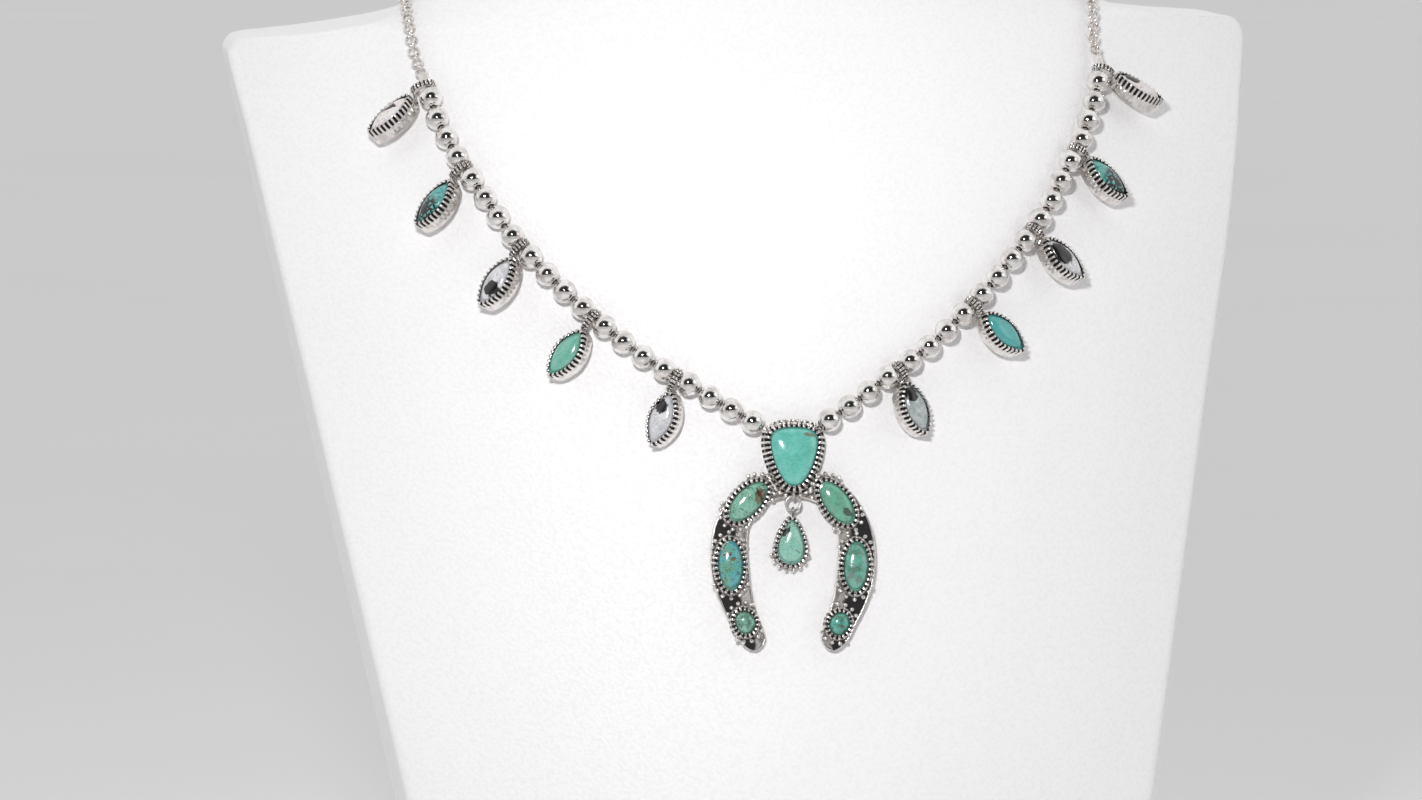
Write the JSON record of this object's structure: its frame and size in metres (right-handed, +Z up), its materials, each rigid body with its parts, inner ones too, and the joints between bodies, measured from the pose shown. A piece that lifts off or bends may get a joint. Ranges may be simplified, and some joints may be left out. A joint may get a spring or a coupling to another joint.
{
  "type": "squash blossom necklace on a neck bust",
  "caption": "Beaded silver necklace with marquise stone drops and a horseshoe pendant, closed by a link chain, shown on a plain white neck bust.",
  "frame": {"origin": "under the middle of the bust's flat base", "axes": "+Z up, the bust faces -Y, +X is to the right as seen from the front"},
  "size_m": [0.2204, 0.124, 0.28],
  "materials": {
    "leatherette": "fine pebbled white leatherette, satin",
    "silver": "polished silver, blackened in the recesses",
    "turquoise": "polished cabochon with brown and black matrix",
    "white_stone": "polished white cabochon with black matrix",
    "thread": "fine twisted grey cord"
  },
  "bodies": {
    "root": {"bust": "leatherette", "naja": "silver", "top_stone": "turquoise", "upper_stone_left": "turquoise", "middle_stone_left": "turquoise", "lower_stone_left": "turquoise", "upper_stone_right": "turquoise", "middle_stone_right": "turquoise", "lower_stone_right": "turquoise", "jump_ring": "silver", "pear_setting": "silver", "pear_stone": "turquoise", "beads_left": "silver", "beads_right": "silver", "thread_left": "thread", "thread_right": "thread", "drop_setting_left_1": "silver", "drop_setting_left_2": "silver", "drop_setting_left_3": "silver", "drop_setting_left_4": "silver", "drop_setting_left_5": "silver", "drop_setting_right_1": "silver", "drop_setting_right_2": "silver", "drop_setting_right_3": "silver", "drop_setting_right_4": "silver", "drop_setting_right_5": "silver", "drop_stone_left_1": "white_stone", "drop_stone_left_2": "turquoise", "drop_stone_left_3": "white_stone", "drop_stone_left_4": "turquoise", "drop_stone_left_5": "white_stone", "drop_stone_right_1": "white_stone", "drop_stone_right_2": "turquoise", "drop_stone_right_3": "white_stone", "drop_stone_right_4": "turquoise", "drop_stone_right_5": "white_stone", "chain_end_left": "silver", "chain_end_right": "silver", "chain_left": "silver", "chain_right": "silver", "clasp": "silver"}
  },
  "joints": []
}
